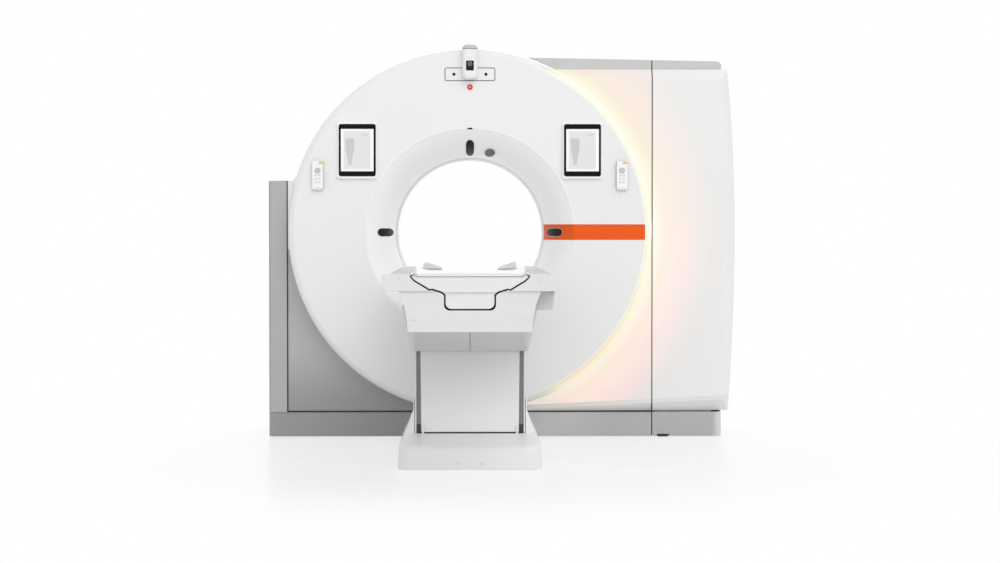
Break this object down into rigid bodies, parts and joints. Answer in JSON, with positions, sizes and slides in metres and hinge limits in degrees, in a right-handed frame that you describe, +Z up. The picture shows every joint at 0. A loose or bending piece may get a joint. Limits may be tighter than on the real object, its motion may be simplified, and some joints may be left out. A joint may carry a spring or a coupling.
{
  "type": "computed tomography scanner",
  "caption": "Whole-body scanner: a round gantry with a flared bore in a wall-like housing, and a lifting patient table whose couch slides into the bore.",
  "frame": {"origin": "on the floor, straight under the centre of the scan plane, on the underside of the base frame", "axes": "+X to the right seen from the table, +Y along the bore away from the table, +Z up"},
  "size_m": [2.193, 3.26, 1.827],
  "materials": {
    "cover_white": "smooth satin lacquer",
    "panel_grey": "satin",
    "trim_black": "matte",
    "frame_paint": "powder coat",
    "cast_frame": "painted casting",
    "alloy": "machined",
    "steel": "ground",
    "copper_tracks": "turned",
    "cabinet_boxes": "satin",
    "belt_rubber": "matte",
    "orange": "satin film",
    "dark_window": "gloss",
    "glow_lens": "translucent",
    "red_lens": "gloss",
    "key_blue": "satin",
    "key_orange": "satin",
    "screen": "gloss",
    "pad_vinyl": "coated cloth over foam",
    "couch_shell": "satin laminate"
  },
  "bodies": {
    "gantry": {"front_cover": "cover_white", "rear_cover": "cover_white", "tunnel_liner": "cover_white", "pylon_cover": "panel_grey", "lower_panel": "panel_grey", "glow_panel": "cover_white", "cabinet_cover": "cover_white", "cap_left": "panel_grey", "cap_right": "panel_grey", "plinth_left": "panel_grey", "plinth_right": "panel_grey", "rear_panels": "panel_grey", "seam_trim": "trim_black", "light_guide": "glow_lens", "accent_strip": "orange", "camera_plate": "cover_white", "camera_pod": "cover_white", "camera_window": "dark_window", "sensor_windows": "dark_window", "alert_lamp": "red_lens", "laser_windows": "dark_window", "intercom_grille": "panel_grey", "tablet_holders": "cover_white", "tablets": "screen", "remotes": "panel_grey", "base_frame": "frame_paint", "levelling_feet": "trim_black", "stator_frame": "cast_frame", "bearing_race": "steel", "drive_motor": "frame_paint", "drive_belt": "belt_rubber", "power_unit": "cabinet_boxes", "table_base_cover": "cover_white", "table_base_plate": "frame_paint", "guide_post": "frame_paint"},
    "rotor": {"rotor_drum": "alloy", "slip_ring": "copper_tracks", "xray_tube": "steel", "collimator": "steel", "hv_generator": "cabinet_boxes", "detector_arc": "cabinet_boxes"},
    "pulley": {"motor_pulley": "steel"},
    "fan": {"fan_rotor": "trim_black"},
    "middle_stage": {"column_sleeve": "panel_grey", "column_seals": "trim_black"},
    "carrier": {"carrier_beam": "alloy", "carrier_cover": "cover_white", "ledge_rails": "panel_grey", "housing_left": "panel_grey", "housing_right": "panel_grey", "side_bracket": "panel_grey"},
    "couch": {"couch_cradle": "couch_shell", "couch_end_cap": "couch_shell", "mattress": "pad_vinyl", "support_wedges": "pad_vinyl"},
    "jog_left": {"jog_button_left": "key_blue"},
    "jog_right": {"jog_button_right": "key_blue"},
    "key_left": {"scan_key_left": "key_orange"},
    "key_right": {"scan_key_right": "key_orange"}
  },
  "joints": [
    {"name": "rotor_spin", "type": "hinge", "parent": "gantry", "child": "rotor", "pos_m": [0, 0.1, 0.96], "axis": [0, 1, 0], "continuous": true},
    {"name": "pulley_spin", "type": "hinge", "parent": "gantry", "child": "pulley", "pos_m": [0.737, 0.085, 0.692], "axis": [0, 1, 0], "continuous": true},
    {"name": "fan_spin", "type": "hinge", "parent": "gantry", "child": "fan", "pos_m": [1, 0, 1.285], "axis": [0, 0, 1], "continuous": true},
    {"name": "column_extend", "type": "slide", "parent": "gantry", "child": "middle_stage", "axis": [0, 0, 1], "range_m": [-0.12, 0.02]},
    {"name": "table_lift", "type": "slide", "parent": "gantry", "child": "carrier", "axis": [0, 0, 1], "range_m": [-0.24, 0.04]},
    {"name": "couch_slide", "type": "slide", "parent": "carrier", "child": "couch", "axis": [0, 1, 0], "range_m": [0, 1.6]},
    {"name": "jog_left_press", "type": "slide", "parent": "gantry", "child": "jog_left", "axis": [0, 1, 0], "range_m": [0, 0.0015], "stiffness_N_per_m": 800},
    {"name": "key_left_press", "type": "slide", "parent": "gantry", "child": "key_left", "axis": [0, 1, 0], "range_m": [0, 0.0015], "stiffness_N_per_m": 800},
    {"name": "jog_right_press", "type": "slide", "parent": "gantry", "child": "jog_right", "axis": [0, 1, 0], "range_m": [0, 0.0015], "stiffness_N_per_m": 800},
    {"name": "key_right_press", "type": "slide", "parent": "gantry", "child": "key_right", "axis": [0, 1, 0], "range_m": [0, 0.0015], "stiffness_N_per_m": 800}
  ],
  "couplings": [
    {"joint": "pulley_spin", "follows": "rotor_spin", "ratio": 17.333},
    {"joint": "column_extend", "follows": "table_lift", "ratio": 0.5}
  ]
}
